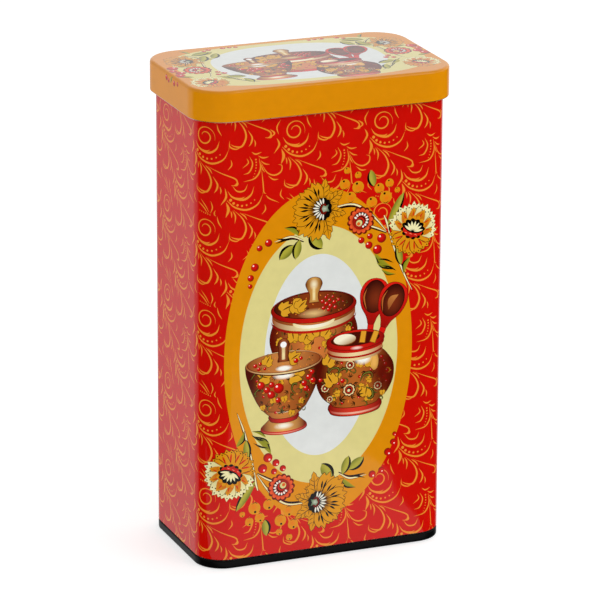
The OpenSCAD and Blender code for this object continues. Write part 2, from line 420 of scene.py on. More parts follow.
def spray():
    """The branch of flowers, leaves and berries over the top of the medallion, about its middle."""
    out = []
    for line, width in (
        ([(4, 61), (14, 61.5), (22, 56), (28, 49)], 1.0),
        ([(27, 55.5), (28.2, 52.5), (29, 49)], 1.0),
        ([(29, 49), (32, 40), (36, 30), (39.5, 23)], 0.9),
        ([(17, 53), (23, 51), (28, 48.5)], 0.8),
        ([(-8, 49), (-13, 51), (-20, 49.6)], 0.9),
    ):
        out += sprig(line, width)
    out += scattered(olive_leaf, (
        (23, 40, -40, 12, 2.6), (24, 36, -20, 6.5, 1.0), (26, 33, -22, 7, 1.2),
        (38.5, 37, -112, 7.5, 2.0), (-9, 51, 150, 8, 2.2),
    ))
    out += scattered(plump_leaf, (
        (28.6, 51.4, 62, 14.5, 3.0), (33, 43, -80, 9, 2.8), (21, 75, -78, 7, 3.2), (-11.8, 47.4, 222, 8, 3.6),
        (-9.4, 49.4, 258, 8, 3.2), (-5, 51.6, -52, 8.6, 4.4),
    ))
    for x, y, turn, reach in ((-12, 50.4, 176, 7.6), (24.2, 37.6, -18, 7.5), (26.2, 34.6, -24, 7)):
        out += placed(brush("black", [(0, 0), (0.5 * reach, 0.5), (reach, 0)], 0.75), x, y, turn)
    out += berries((
        (9.9, 70.2, 2.2), (15.6, 68.5, 2.5), (10.9, 75.8, 1.4), (15.6, 73.5, 1.4), (29.2, 68.8, 1.8),
        (24.8, 67.1, 2.1), (27.6, 63.1, 2.6), (21.6, 61.6, 2.3), (32.6, 65.6, 1.2), (12.5, 64.6, 2.3),
    ), gold_berry)
    out += placed(leaf_flower(), 0.2, 61) + placed(rosette(), 16.9, 54.4, 20)
    out += berries((
        (17.2, 46.2, 1.4), (20.9, 47.5, 1.3), (20.5, 43.8, 1.6), (26, 46.2, 2.0), (24.2, 41.6, 2.0),
        (-22.6, 49.5, 1.6), (-26.4, 47.7, 1.3), (-28.4, 40, 1.7), (-30.2, 35.7, 1.4), (-30.4, 32.3, 1.0),
    ))
    return out + placed(carnation(), 39.6, 48.5, -18)


# ---- Painted wooden vessels ----


def turned(profile, ink, dark, half, sag, edge):
    """The outline of something turned on a lathe, from its foot up: edged, and darker at its sides."""
    right = curve(profile)
    foot = ring(profile[0][0], sag, y=profile[0][1], start=180, end=360) if sag else np.empty((0, 2))
    outline = np.vstack([right, right[::-1] * (-1, 1), foot])
    return outlined(outline, ink, SHADOW_LINE, edge, dark, roundness(half))


def band(half, sag, top, bottom, ink, dark):
    """A hoop seen from a little above: the strip between two sagging curves."""
    upper = ring(half, sag, y=top, start=180, end=360)
    lower = ring(half, sag, y=bottom, start=360, end=180)
    return shape(np.vstack([upper, lower]), ink, dark, roundness(half))


def vine_leaf():
    """A small gold leaf of five lobes."""
    lobes = [
        (turn, blade(long, 1.7, peak=0.8, steps=5))
        for turn, long in ((62, 2.2), (-62, 2.2), (28, 2.9), (-28, 2.9), (0, 3.5))
    ]
    out = [part for turn, lobe in lobes for part in placed(shape(grown(lobe, 0.14), "umber"), turn=turn)]
    out += [part for turn, lobe in lobes for part in placed(shape(lobe, "#dfa126"), turn=turn)]
    return out + brush("umber", [(0.3, 0), (1.6, 0.05), (3.0, 0)], 0.3)


def curl():
    """A small tendril, olive on black."""
    line = [(0, 0), (1.7, 1.0), (3.3, 0.4), (3.2, -0.8), (2.2, -0.6)]
    return brush("#120b04", line, 0.75, 0.3) + brush("#74722a", line, 0.35, 0.3)


def small_flower():
    """A small cream flower with a red eye."""
    out = shape(scalloped(1.7, 9, 0.3), "#2a0c04") + shape(scalloped(1.45, 9, 0.25), "#edcf96")
    out += disc("#3a0e06", 1.22) + disc("#c22a12", 1.0) + disc("#1c0d06", 0.72)
    return out + disc("#f0dfae", 0.42, x=-0.12, y=-0.12)


def twig():
    """A fan of four dark strokes."""
    fan = ((0, 0, 55, 2.2), (0, 0, 20, 2.8), (0, 0, -15, 2.4), (0, 0, -50, 1.8))
    return scattered(lambda long: shape(blade(long, 0.42, 0.08), "#2a1a0a"), fan)


def fleck():
    """One short orange stroke."""
    return shape(blade(1.7, 0.75, 0.1), "#e8862a")


def berry():
    """A berry of the small painting."""
    return red_berry(0.8)


def crowd(profile, top, bottom, sag, makes, pitch, around, size):
    """Rows of small painted figures round a turned shape, closing up towards its sides."""
    heights, halves = [y for _, y in profile], [x for x, _ in profile]
    out, row, level = [], 0, top
    while level > bottom:
        half = np.interp(level, heights, halves) * 0.93
        for column in range(-4, 5):
            angle = math.radians(around * (column + 0.5 * (row % 2)))
            if abs(angle) < math.pi / 2:
                make = makes[(2 * row + column) % len(makes)]
                x, y = half * math.sin(angle), level - sag * math.cos(angle)
                narrowed = size * (0.6 + 0.4 * math.cos(angle))
                out += placed(make(), x, y, 70 * row + 125 * column, narrowed)
        row, level = row + 1, level - pitch
    return out


def spots(make, rows):
    """Single painted figures, each given by its place, turn and size."""
    return [part for x, y, turn, size in rows for part in placed(make(), x, y, turn, size)]


def oval_rows(half, depth, heights):
    """A flat oval as a profile of half widths, for a crowd on a lid."""
    return [(half * math.sqrt(1 - (y / depth) ** 2), y) for y in heights]


def knob(height, head, neck, ink, dark):
    """A turned knob with a bright streak down its middle."""
    profile = [
        (neck * 1.25, 0), (neck, 0.2 * height), (1.1 * neck, 0.38 * height), (0.8 * head, 0.55 * height),
        (head, 0.74 * height), (0.74 * head, 0.92 * height), (0.3 * head, 0.99 * height), (0.05, height),
    ]
    out = turned(profile, ink, dark, head, 0, 0.22)
    spot = glow(0.1, 0.55 * head, 0, 0.72 * height, 1.3)
    out += disc("#fbf3cf", 0.55 * head, 0.24 * height, y=0.72 * height, weight=spot)
    streak, line = glow(0.1, neck, 0, 0.3 * height, 4.0), [(0, 0.08 * height), (0, 0.62 * height)]
    return out + brush("#f6e3a6", line, 0.9 * neck, 0.8, 0.8, weight=streak)


def jar():
    """The big lidded jar, about the middle of its lid."""
    foot = [(10, -24.6), (13.2, -24.2), (13.6, -22.6), (12.6, -21.4)]
    out = turned(foot, "#d8301c", "#7c100a", 14, 2.2, 0.2)
    body = [(12.6, -22), (16.6, -19.6), (18.5, -15), (18.7, -11), (17.6, -7), (16, -4)]
    out += turned(body, "#d67c38", "#5e1004", 16.6, 1.6, 0.25)
    figures = (vine_leaf, berry, curl, fleck, twig, vine_leaf, berry)
    out += crowd(body, -8.2, -20, 3.0, figures, 2.3, 17, 0.85)
    out += spots(vine_leaf, (
        (-8.5, -13.6, 100, 1.5), (-4.5, -14.6, 60, 1.6), (0.5, -13.2, 120, 1.5), (4.4, -13.6, 50, 1.3),
    ))
    out += spots(curl, ((-13.5, -11, 60, 1.1), (12.8, -10.6, 20, 1.1)))
    out += shape([(-17.9, -0.8), (17.9, -0.8), (17.8, -5), (-17.8, -5)], "#8a3a18")
    for hoop in (
        (18.2, 6.0, -4.4, -5.4, "#c41a10", "#7c100a"), (17.9, 5.9, -1.8, -4.4, "#f6e6ae", "#9a4a1c"),
        (17.9, 5.9, -1.8, -2.3, "#b06a2c", "#7a2c0c"), (9.0, 2.6, -5.4, -6.8, "#fffbe6", "#f2dc9c"),
    ):
        out += band(*hoop)
    out += disc(SHADOW_LINE, 18.5, 6.7, y=-0.5)
    out += disc("#c8180e", 18.3, 6.5, y=-0.5, to="#8a0e08", weight=roundness(18.6))
    out += disc("#32100a", 17.2, 5.5, y=0.35)
    out += disc("#8c3a14", 16.8, 5.2, y=0.35, to="#3e1006", weight=roundness(17))
    figures = (twig, fleck, berry, curl, fleck)
    out += crowd(oval_rows(15.6, 5, (-4, -2, 0, 2, 4)), 4.2, -3.4, 0.4, figures, 1.7, 21, 0.55)
    out += disc("#e6bf7c", 7.5, 2.3, y=-2.8, weight=glow(1.0, 7.0, 0, -3.2, 0.32))
    out += spots(vine_leaf, ((-14, -0.6, 22, 1.7), (-9, 1.6, -28, 1.8), (-7, -0.4, 40, 1.5)))
    out += berries((
        (3.8, 1.4, 0.9), (5.4, 0.2, 1.0), (4.2, -1.4, 0.9), (6.8, 1.6, 0.8), (7.2, -0.8, 1.0),
        (8.8, 0.6, 0.9), (6.4, -2.3, 0.9), (9.2, -1.6, 0.8), (10.6, 1.4, 0.7), (5.2, 2.9, 0.7),
        (8.2, 2.9, 0.6),
    ))
    return out + placed(knob(10.4, 3.5, 1.7, "#d9a050", "#6a2408"), 0, 1.5)


def goblet():
    """The footed cup with its lid, about the middle of its rim."""
    foot = [(9.9, -27.5), (9.4, -26.1), (7.2, -24.2), (5.8, -22.8)]
    out = turned(foot, "#e8aa54", "#74200a", 9.0, 2.6, 0.22)
    out += band(9.9, 2.7, -26.2, -27.5, "#e0402c", "#8e120c")
    out += band(9.9, 2.7, -26.8, -27.1, "#f7a58c", "#b3160e")
    out += shine("#fffbe8", 4.6, 1.6, 0, -26.6, 1.2, 0.35)
    out += turned([(5.9, -23.6), (6.5, -22.6), (6.2, -21.4)], "#cf1c12", "#6e0e08", 6.6, 1.6, 0.2)
    stem = [(5.6, -22), (7.6, -20.4), (9.6, -18.2), (11.9, -14.6)]
    out += turned(stem, "#d08038", "#5c1606", 10.2, 1.4, 0.22)
    out += disc("#fffbe0", 4.4, 1.0, y=-20.2, weight=glow(0.6, 4.4, 0, -20.0, 0.3))
    bowl = [(9.6, -18.4), (11.9, -14.6), (14.4, -9), (16, -3.8), (16.5, 0.3)]
    out += turned(bowl, "#b36228", "#4c0e04", 13.8, 1.9, 0.25)
    out += shine("#cf8038", 8, 4, 0, -5.5, 2, 0.55)
    figures = (curl, vine_leaf, twig, fleck, curl, berry, twig)
    out += crowd(bowl, -2.2, -17.8, 3.2, figures, 2.2, 15, 0.82)
    out += spots(vine_leaf, ((2.6, -6.6, 15, 1.9), (-6.2, -5.6, 160, 1.6), (6.2, -5.6, 70, 1.4)))
    out += spots(curl, ((-14.2, -5.4, 20, 1.4), (-12.4, -13, 50, 1.2), (5.2, -13.6, 100, 1.3)))
    out += berries((
        (-9.8, -8.4, 1.7), (-7.2, -10.6, 1.4), (-5.2, -8.6, 1.3), (-5.4, -12.8, 1.7), (-2.2, -10.4, 2.2),
        (-2.4, -15.4, 1.2), (8.8, -9.6, 1.3), (10.8, -7.2, 1.3), (9.6, -11.8, 1.2), (12.6, -8.8, 1.2),
        (12.2, -5.2, 1.1),
    ))
    out += shine(SHEEN, 5, 1.8, 0, -5.2, 2.2, 0.36)
    out += disc(SHADOW_LINE, 16.7, 5.0)
    out += disc("#f3d69a", 16.4, 4.75, y=0.25, to="#a05a28", weight=roundness(16.4))
    out += disc("#6a260c", 15.9, 4.35, y=0.45)
    out += disc("#cc8442", 15.5, 4.15, y=0.5, to="#8e441c", weight=roundness(15.5))
    figures = (fleck, twig, curl, fleck)
    out += crowd(oval_rows(14.4, 4, (-3, -1.5, 0, 1.5, 3)), 3.2, -2.4, 0.3, figures, 1.7, 24, 0.5)
    out += shine(SHEEN, 3.9, 1.3, 0, -2.2, 2.0, 0.34)
    out += spots(vine_leaf, ((-7.8, 0.2, 60, 1.3), (2.6, 0.8, 30, 1.6)))
    out += berries((
        (-12.3, 0.2, 0.9), (-10.2, 0.8, 0.8), (-10.8, -1.3, 0.8), (-8.2, -1.4, 0.7), (5.2, 0.4, 1.1),
        (7.4, 1.2, 0.8),
    ))
    out += placed(knob(9.4, 2.5, 2.0, "#a0522a", "#481006"), -0.2, 0.8)
    return out + disc("#ffffff", 1.35, 1.25, -0.2, 7.8)


def pot():
    """The round pot that holds the spoons, about the middle of its mouth."""
    foot = [(10.9, -29.6), (11.6, -28.2), (11.2, -26.6), (9.8, -25.4)]
    out = turned(foot, "#dc3a26", "#7c100a", 11.4, 2.6, 0.22)
    out += band(10.9, 2.5, -28.2, -29.0, "#f7b79c", "#b3160e")
    belly = [(10, -26.4), (14, -23), (16.5, -17.5), (16.4, -11.5), (13.4, -6.8), (11, -4.6)]
    out += turned(belly, "#b86426", "#560e04", 14.6, 2.2, 0.25)
    figures = (twig, curl, vine_leaf, fleck, curl, twig, berry, fleck)
    out += crowd(belly, -6.8, -25.5, 2.6, figures, 2.15, 14, 0.85)
    out += spots(small_flower, (
        (-2.2, -10.4, 0, 1.1), (-13, -19, 0, 1.05), (10, -20.6, 0, 1.05), (-2.6, -21, 15, 1.5),
        (-11, -24, 0, 0.8),
    ))
    out += spots(vine_leaf, (
        (-12.2, -9.2, 60, 1.6), (-9.6, -17.6, 120, 1.7), (4.6, -24.4, 80, 1.5), (6.4, -12, 70, 1.5),
    ))
    out += spots(curl, (
        (-12, -13.4, 20, 1.5), (-7.6, -15, 40, 1.4), (2.2, -18, 30, 1.7), (4.6, -20.6, -60, 1.6),
    ))
    out += spots(twig, ((-6.6, -25.2, 20, 1.3), (1, -24, 30, 1.3)))
    out += berries((
        (12.6, -17, 1.1), (14, -14.6, 1.0), (13.2, -11.8, 0.9), (-15, -15.4, 0.9), (-5.4, -16.8, 1.0),
        (11.6, -8.6, 0.8),
    ))
    out += disc("#651206", 4.6, 7.5, 11.2, -15, weight=glow(1.0, 7.5, 11.8, -15, 1.65))
    out += shine(SHEEN, 4.2, 3.2, 3.4, -8, 2.0, 0.76)
    out += disc("#efb45a", 1.8, 3.8, 8.4, -10, weight=glow(0.6, 3.8, 8.4, -10, 2.1))
    for hoop in (
        (11.8, 3.6, -4.0, -5.2, "#f3d79c", "#8a3a14"), (12.1, 3.7, -3.2, -4.0, "#b8160e", "#7a0e08"),
        (11.9, 3.7, -1.4, -3.2, "#f6dca4", "#b0481c"), (12.5, 3.8, -0.2, -1.6, "#d0180f", "#8a100a"),
    ):
        out += band(*hoop)
    out += disc(SHADOW_LINE, 12.8, 4.3) + disc("#d61b10", 12.6, 4.1, to="#8e0e08", weight=roundness(12.6))
    out += shine("#ffd9cc", 3.0, 0.7, 0.6, -3.5, 0.6, 0.3)
    out += disc("#4a1006", 10.7, 2.9, y=0.4) + disc("#7c3a12", 5.0, 2.4, -4.6, 0.5)
    return out + disc("#fdf6d6", 4.8, 2.2, -4.6, 0.7, "#a8702c", ramp((-4, 1.6), (-2.4, -2)))


def spoon(length):
    """A wooden spoon with a dark bowl, standing with its handle down, about the bowl's middle."""
    handle = [(0, -6), (0, -length)]
    out = brush("#7c0c08", handle, 2.9, 1.0, 0.9) + brush("#d8170f", handle, 2.5, 1.0, 0.9)
    rim = curve([(0, 9.2), (2.5, 8.7), (4.8, 6.9), (6.2, 3.0), (5.2, -2.4), (2.4, -6.8), (1.3, -10)])
    bowl = np.vstack([rim, rim[::-1] * (-1, 1)])
    out += outlined(bowl, "#dc1b10", "#5c0a06", 0.18, "#a0100a", ramp((0, 8), (0, -9)))
    out += disc("#2e0a06", 5.0, 7.0, y=1.6)
    out += disc("#7c2e14", 4.7, 6.7, y=1.5, to="#3a0e08", weight=glow(5.2, 1.0, 0.6, 1.0, 1.35))
    return out + brush("#b8642a", [(-3.6, 5.0), (-4.4, 1.0), (-2.6, -4.2)], 0.7)


def vessels():
    """The group of jar, goblet, pot and spoons, about the middle of the medallion."""
    out = placed(jar(), -3.1, 21.1) + placed(spoon(20), 22.9, 20.4, -7)
    hollow = [(1.6, 4.4), (-0.6, 1.6), (-0.4, -2.6)]
    lit = brush("#c0783a", hollow, 2.6, to="#8a3c18", weight=ramp((1, 3), (-1, -4)))
    out += placed(spoon(20) + lit, 30.6, 18.0, -20)
    out += placed(goblet(), -15.9, -1.5) + placed(pot(), 15.0, 4.6)
    for x, y, turn in ((18.2, 5.4, -7), (23.2, 4.9, -20)):
        handle = shape([(-1.4, -2.4), (1.4, -2.4), (1.5, 2.6), (-1.1, 2.6)], "#8a4a10")
        handle += shape([(-1.1, -2.2), (1.1, -2.2), (1.2, 2.5), (-0.9, 2.5)], "#e3a12a")
        out += placed(handle, x, y, turn)
    return out


# ---- The red ground and its scrolls ----

TILE = (37.5, 37.7)  # how often the scroll pattern repeats, across and down
TILE_START = (-11.6, 218.7)  # the first one, across from the medallion's middle and up from the table
TILE_ROWS = 7


def scrolls(rows, start=0.0, end=0.0):
    """Brush strokes in the scrolls' ink: each row has its points, its width and perhaps its own ends."""
    out = []
    for points, width, *ends in rows:
        out += brush("scroll", points, width, *(ends or (start, end)), steps=4)
    return out


def scroll_branch():
    """Crescents, beads, a long arc and the fan of tendrils that grows from it."""
    out = scrolls((
        ([(-5, -2.3), (-3, -5), (1.5, -6.5), (4.8, -4.8), (6, -1.5)], 0.9),
        ([(-2.5, -5.2), (0.5, -5.9), (2.2, -5.3)], 0.5),
        ([(-5.3, -6.2), (-2, -9.3), (3, -10.8), (7.6, -9), (9.8, -5)], 0.75, 0.2, 0.0),
        ([(9.8, -5), (9.9, -3)], 0.3, 0.5, 0.0),
        ([(-5.6, -7), (-4.7, -10), (-5.8, -13.2)], 1.2),
        ([(-3.8, -10.5), (-3.4, -12), (-3.4, -13.5)], 0.5),
        ([(-3, -10.5), (-1.8, -13), (-2.1, -16)], 0.6),
        ([(-2.6, -10.3), (1.2, -14.2), (2.7, -18.5), (1, -22.3), (-1.8, -22.2), (-4, -21)], 0.8),
        ([(-4.2, -19.5), (-4.1, -22), (-1.5, -23.3), (1, -22.3)], 0.55),
        ([(0, -11.8), (2, -13.2), (3.2, -15)], 0.5),
        ([(0.3, -11.6), (6.5, -14.5), (12, -17), (13.2, -18.6), (12.2, -19.9), (10.8, -19.8)], 0.55, 0, 0.3),
        ([(13.2, -18.2), (13.2, -19.6), (11.6, -20)], 1.0),
        ([(3.4, -16), (5.2, -19), (4.9, -21.2), (3.8, -22.8)], 0.75),
        ([(6.1, -20), (6.6, -21.6), (6.4, -23.2)], 0.5),
        ([(10.6, -9.3), (10.9, -11.5), (9.3, -13.4)], 0.55),
    ))
    for k in range(7):
        turn = math.radians(-148 + 17.5 * k)
        out += disc("scroll", 0.62 - 0.06 * k, x=1.6 + 6.4 * math.cos(turn), y=-2.9 + 6.1 * math.sin(turn))
    return out


def scroll_swirl():
    """The spiral over a branch, with arcs and beads beside it."""
    turn = np.radians(np.linspace(-20, 520, 40))
    reach = np.linspace(4.4, 1.5, len(turn))
    out = brush("scroll", np.stack([reach * np.cos(turn), reach * np.sin(turn)], 1), 0.6, 0.1, 0.3, 1)
    out += scrolls((
        ([(-6, 5), (-7.6, 2), (-6.8, -1)], 0.55),
        ([(-7.6, -2.4), (-6.6, -5.2), (-8.8, -8.6)], 0.85),
        ([(5, 5.6), (5.6, 3), (7, 0.5)], 0.5),
        ([(-10.5, 1.5), (-8.6, -0.2), (-9.8, -1.6)], 0.7),
        ([(8.2, 17), (8.6, 13.2), (6.4, 10)], 0.85),
        ([(-3.6, 10.6), (-0.8, 8.8), (1.6, 5.9)], 0.45),
        ([(-2.2, 12), (0.2, 9.4), (1.9, 6.6)], 0.4),
        ([(2.4, 11.6), (3.2, 9), (2.3, 6.4)], 0.5),
        ([(4.4, 8), (3.9, 6.4), (4.6, 5.4)], 0.5),
    ))
    for k in range(6):
        out += disc("scroll", 0.24, x=-2.6 + 0.95 * k, y=7.1 - 0.25 * k)
    return out


def scroll_plume():
    """The smaller plume between the branches: a bead row in two crescents, and a looped tendril."""
    out = scrolls((
        ([(2.6, 3), (3.1, -1.5), (0.8, -5), (-4, -6)], 0.65),
        ([(-1.5, 4), (-0.2, 1), (-1.6, -2.3), (-4, -3)], 0.6),
        ([(-2.6, 3.4), (-2, 1.5), (-4.4, -0.4)], 0.5),
        ([(3.2, 2), (5, 0.5), (7, 0)], 0.5),
        ([(3.2, 1.4), (5.8, -3), (9, -4.6), (11.8, -3.4), (12.2, -1), (10.6, -0.3)], 0.6),
        ([(3.4, 0.5), (4, -1.5), (5, -3)], 0.45),
        ([(6.4, -4.6), (8.6, -6.3), (10.8, -6.4)], 0.55),
        ([(3.6, -1.5), (4.2, -7), (4.6, -11), (5.6, -11.8)], 0.5),
        ([(-0.6, 5.8), (1.2, 4.8), (3.6, 5.4)], 0.6),
        ([(2.2, 4), (4.2, 3), (6.6, 3.2)], 0.6),
        ([(5.4, -12.4), (7, -14), (11, -16)], 0.5),
        ([(12.2, -10.6), (11.6, -13), (13.2, -15)], 0.5),
    ), 0.1, 0.1)
    for k in range(7):
        out += disc("scroll", 0.36 - 0.03 * k, x=1.2 - 0.06 * k * k + 0.2 * k, y=2.6 - 1.15 * k)
    return out


def scroll_tile():
    """One repeat of the pattern: two branches, half a drop apart, a swirl and a plume."""
    across, down = TILE
    out = scroll_branch() + scroll_swirl()
    cap = brush("scroll", [(-3.2, -0.3), (-1, -2.8), (2, -2.8), (3.4, -0.2)], 0.6, steps=4)
    out += placed(scroll_branch() + cap, 0.38 * across, -0.52 * down)
    return out + placed(scroll_plume(), -0.47 * across, -0.34 * down)


def scroll_ground(middle, x0, x1):
    """The repeating scrolls between two places round the wall, in step with a medallion's middle."""
    (across, down), (left, top) = TILE, TILE_START
    tile, out = scroll_tile(), []
    first = math.floor((x0 - middle) / across) - 1
    last = math.ceil((x1 - middle) / across) + 1
    for i in range(first, last + 1):
        for j in range(TILE_ROWS):
            out += placed(tile, middle + left + i * across, top - j * down)
    return out


# ---- The pictures on the body and the lid ----

PICTURE = (-3.1, 86.4)  # the medallion's middle, from the front's middle and the table
OVAL = (40.6, 69.8)  # the orange oval's half width and half height


def medallion():
    """The oval picture: orange, cream and white ovals, vessels and two sprays of flowers."""
    out = disc("orange", *OVAL, x=-0.8)
    out += disc("cream", 34.2, 54.4, x=-0.8) + disc("white", 23.5, 42.5, x=-0.8)
    out += vessels()
    lower = placed(spray(), -16.9, -54.4)
    return out + spray() + placed(lower, -16.9, -54.4, 173.5)


def uncovered(shapes, middle):
    """The shapes that the medallion's orange oval doesn't cover."""
    return [s for s in shapes if np.any(np.sum(((s.outline - (middle, PICTURE[1])) / OVAL) ** 2, 1) > 1)]


def squarish(rx, ry, power=3.4):
    """An oval with full corners."""
    turns = np.radians(np.arange(0, 360, 4))
    sides = ((rx, np.cos(turns)), (ry, np.sin(turns)))
    return np.stack([r * np.sign(v) * np.abs(v) ** (2 / power) for r, v in sides], 1)


def lid_spray():
    """Flowers, leaves and berries down the right end of the lid."""
    out = sprig([(40, 24), (36, 18), (38, 8), (40, -6), (44, -14)], 0.6)
    out += sprig([(36, -14), (31, -20), (26, -24)], 0.5) + sprig([(39, -10), (34, -15), (32, -19)], 0.5)
    out += scattered(lambda long: olive_leaf(long, 0.26 * long, 0.12), (
        (34, 22, 150, 7.5), (37, 26, 60, 6), (36, 17, 200, 6), (38, -11, -130, 8), (48, -9, 20, 7),
        (44, 7, 10, 6),
    ))
    out += berries((
        (16, 29.4, 1.0), (18.6, 29.7, 1.0), (21.5, 29.6, 1.2), (28, 29, 1.2), (30.4, 27.4, 1.0),
        (51.6, 6.6, 2.4), (53.2, 2.4, 1.9), (51, -1.2, 2.1), (52.8, -4.8, 2.2), (36.6, -4.6, 1.2),
        (34.8, -7, 1.3), (37.6, -8, 1.2),
    ))
    out += scattered(lambda long: plump_leaf(long, 0.4 * long), (
        (29, 26, -20, 9), (27, 23, -62, 8), (33, 21, -66, 9), (36, -12, -160, 8), (30, -17, -100, 7),
    ))
    out += placed(leaf_flower(), 42.8, 15, 180, 0.7) + placed(rosette(), 43.2, 0.8, 0, 0.98)
    return out + placed(carnation(), 45, -18.4, -40, 0.72)


def lid_picture():
    """The lid's picture: cream and white fields, the vessels and a spray at each end."""
    out = shape(squarish(50.5, 30.4), "cream") + shape(squarish(35.6, 26.6, 2.4), "white")
    out += placed(jar(), -1.2, 8.6, size=0.93)
    out += placed(spoon(16), 20.6, 6.6, 6, 0.8) + placed(spoon(16), 27.4, 7.6, -20, 0.8)
    out += placed(goblet(), -17.8, 2.6, size=0.86) + placed(pot(), 14.6, -5.2, size=0.78)
    return out + lid_spray() + placed(lid_spray(), flip=True)


def spilled_berries():
    """The ends of the lid's left spray that run over its edge, about the middle of the left skirt."""
    out = berries(((-3, 0, 1.2), (-0.6, -0.6, 1.0), (5.6, -0.4, 1.2), (9.4, 0.2, 1.0)))
    return out + placed(olive_leaf(4, 1.1, 0.12), 1.6, -1.4, 60)


# ---- From drawing to a sheet of ink ----


def inside(outline, points):
    """Which points a closed outline winds round."""
    x, y = points[:, :1], points[:, 1:]
    a, b = outline, np.roll(outline, -1, 0)
    side = (b[:, 0] - a[:, 0]) * (y - a[:, 1]) - (x - a[:, 0]) * (b[:, 1] - a[:, 1])
    up = (a[:, 1] <= y) & (b[:, 1] > y) & (side > 0)
    down = (a[:, 1] > y) & (b[:, 1] <= y) & (side < 0)
    return up.sum(1) != down.sum(1)


def within(frames, points):
    return np.any([inside(f, points) for f in frames], 0)


def shade_points(drawn):
    """Points inside a shaded shape, so that its shading has somewhere to change."""
    finest, coarsest, across = 0.3, 2.0, 6
    low, high = drawn.outline.min(0), drawn.outline.max(0)
    step = min(max((high - low).min() / across, finest), coarsest)
    x, y = np.meshgrid(*(np.arange(low[k] + step / 2, high[k], step) for k in (0, 1)))
    points = np.stack([x.ravel(), y.ravel()], 1)
    return points[inside(drawn.outline, points)]


def divided(outlines, lines, points=()):
    """Triangles that keep to every closed outline and open line, and use the loose points."""
    verts, edges = [], []
    for outline in outlines:
        first, count = len(verts), len(outline)
        edges += [(first + k, first + (k + 1) % count) for k in range(count)]
        verts += [Vector(p) for p in outline]
    for start, end in lines:
        edges.append((len(verts), len(verts) + 1))
        verts += [Vector(start), Vector(end)]
    verts += [Vector(p) for p in points]
    triangles, nearest = 0, 1e-4  # the kind of result wanted, and how close two points are one
    verts, _, faces, *_ = delaunay_2d_cdt(verts, edges, [], triangles, nearest, False)
    return np.array(verts, float), np.array(faces)


def ink_value(name, inks):
    return np.array(linear(name) if name[0] == "#" else getattr(inks, name))


def painted(corners, shapes, ground, inks):
    """The linear colour at each corner of each triangle, laying the shapes down in order."""
    colours = np.empty(corners.shape[:2] + (3,))
    colours[:] = ink_value(ground, inks)
    middles = corners.mean(1)
    order = np.argsort(middles[:, 0])
    across = middles[order, 0]
    for drawn in shapes:
        low, high = drawn.outline.min(0), drawn.outline.max(0)
        near = order[np.searchsorted(across, low[0]) : np.searchsorted(across, high[0])]
        near = near[(middles[near, 1] > low[1]) & (middles[near, 1] < high[1])]
        near = near[inside(drawn.outline, middles[near])]
        laid = ink_value(drawn.ink, inks)
        if drawn.weight is None:
            colours[near] = laid
            continue
        at = corners[near].reshape(-1, 2) @ drawn.home[:2, :2].T + drawn.home[:2, 2]
        share = drawn.weight(at).reshape(len(near), 3, 1)
        if drawn.to:
            colours[near] = laid * (1 - share) + ink_value(drawn.to, inks) * share
        else:
            colours[near] = colours[near] * (1 - share) + laid * share
    return colours


def boundary(faces):
    """The edges that only one triangle has, each in that triangle's direction."""
    edges = [(t[k], t[k - 2]) for t in faces.tolist() for k in range(3)]
    known = set(edges)
    return [(a, b) for a, b in edges if (b, a) not in known]


def loop_vertices(mesh):
    """The vertex at each corner of each face."""
    vertex = np.empty(len(mesh.loops), int)
    mesh.loops.foreach_get("vertex_index", vertex)
    return vertex


def ink_sheet(name, frames, lines, shapes, ground, height=0.0):
    """A closed film of ink lying flat: a painted face, a plain back, and the rim between them.

    Corner colours "Ink" hold the picture. The map "OFBake" gives its wide part to the painted face."""
    thickness = 0.6  # of the film's height, so that its back stays clear of the metal
    inks, film = bpy.context.scene.print_inks, bpy.context.scene.tin_sizes.film
    low, high = np.min([f.min(0) for f in frames], 0), np.max([f.max(0) for f in frames], 0)
    shapes = [s for s in shapes if np.all(s.outline.max(0) > low) and np.all(s.outline.min(0) < high)]
    loose = [shade_points(s) for s in shapes if s.weight is not None] + [np.empty((0, 2))]
    flat, faces = divided(list(frames) + [s.outline for s in shapes], lines, np.vstack(loose))
    faces = faces[within(frames, flat[faces].mean(1))]
    rim = boundary(faces)
    back_flat, back = divided([], list(lines) + [(flat[a], flat[b]) for a, b in rim])
    back = back[within(frames, back_flat[back].mean(1))] + len(flat)
    rim_vertices = {v for edge in rim for v in edge}
    twin = {v: len(flat) + int(np.argmin(np.sum((back_flat - flat[v]) ** 2, 1))) for v in rim_vertices}

    places = np.vstack([flat, back_flat])
    layer = np.repeat([height, height - thickness * film], [len(flat), len(back_flat)])
    verts = np.column_stack([places * MM, layer])
    polygons = faces.tolist() + back[:, ::-1].tolist() + [(b, a, twin[a], twin[b]) for a, b in rim]
    used = sorted({v for polygon in polygons for v in polygon})
    number = {v: k for k, v in enumerate(used)}
    places = places[used]
    mesh = bpy.data.meshes.new(name)
    mesh.from_pydata(verts[used].tolist(), [], [[number[v] for v in polygon] for polygon in polygons])
    mesh.polygons.foreach_set("use_smooth", [True] * len(polygons))

    front = 3 * len(faces)
    colours = np.ones((len(mesh.loops), 4), np.float32)
    colours[:, :3] = ink_value(ground, inks)
    colours[:front, :3] = painted(flat[faces], shapes, ground, inks).reshape(-1, 3)
    mesh.color_attributes.new("Ink", "FLOAT_COLOR", "CORNER").data.foreach_set("color", colours.ravel())

    wide, narrow, narrow_start = 0.97, 0.01, 0.985  # shares of the map's width
    chart = (places[loop_vertices(mesh)] - low) / (high - low) * (wide, 1.0)
    chart[front:] = chart[front:] * (narrow, 1.0) + (narrow_start, 0.0)
    mesh.uv_layers.new(name="OFBake").uv.foreach_set("vector", chart.astype(np.float32).ravel())

    sheet = bpy.data.objects.new(name, mesh)
    bpy.context.scene.collection.objects.link(sheet)
    return sheet, len(faces)


